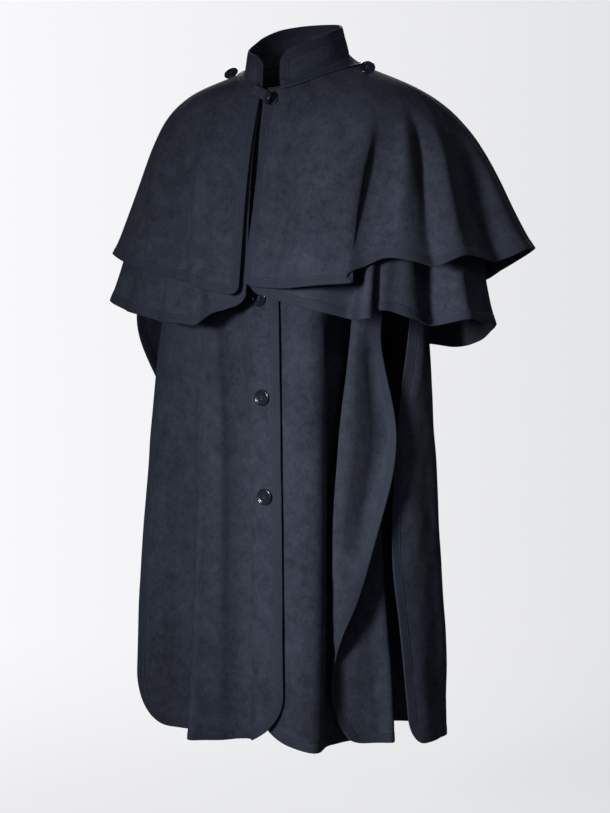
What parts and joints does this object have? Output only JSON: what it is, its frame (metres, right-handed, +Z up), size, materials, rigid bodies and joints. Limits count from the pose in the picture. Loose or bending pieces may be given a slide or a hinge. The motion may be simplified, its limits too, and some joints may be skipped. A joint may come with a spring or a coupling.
{
  "type": "wool cape coat",
  "caption": "Long unlined wool coat with open sides, a two-tier shoulder cape, a stand collar and a buttoned front, in its hollow worn shape.",
  "frame": {"origin": "middle of the wearer's neck, level with the two shoulder buttons, where the neck and shoulders hold the coat", "axes": "+Z up; the wearer faces -Y; the wearer's left hand is at +X"},
  "size_m": [0.7449, 0.4625, 1.2077],
  "materials": {
    "melton": "felted navy wool melton",
    "wool_tape": "navy wool binding tape",
    "button_plastic": "glossy dark navy"
  },
  "bodies": {
    "root": {"back": "melton", "back_binding": "wool_tape", "button_1": "button_plastic", "button_2": "button_plastic", "button_3": "button_plastic", "button_4": "button_plastic", "button_5": "button_plastic", "collar": "melton", "collar_binding": "wool_tape", "left_front": "melton", "left_front_binding": "wool_tape", "lower_cape": "melton", "lower_cape_binding": "wool_tape", "neck_tab": "melton", "neckband": "wool_tape", "right_front": "melton", "right_front_binding": "wool_tape", "shoulder_button_left": "button_plastic", "shoulder_button_right": "button_plastic", "upper_cape": "melton", "upper_cape_binding": "wool_tape"}
  },
  "joints": []
}
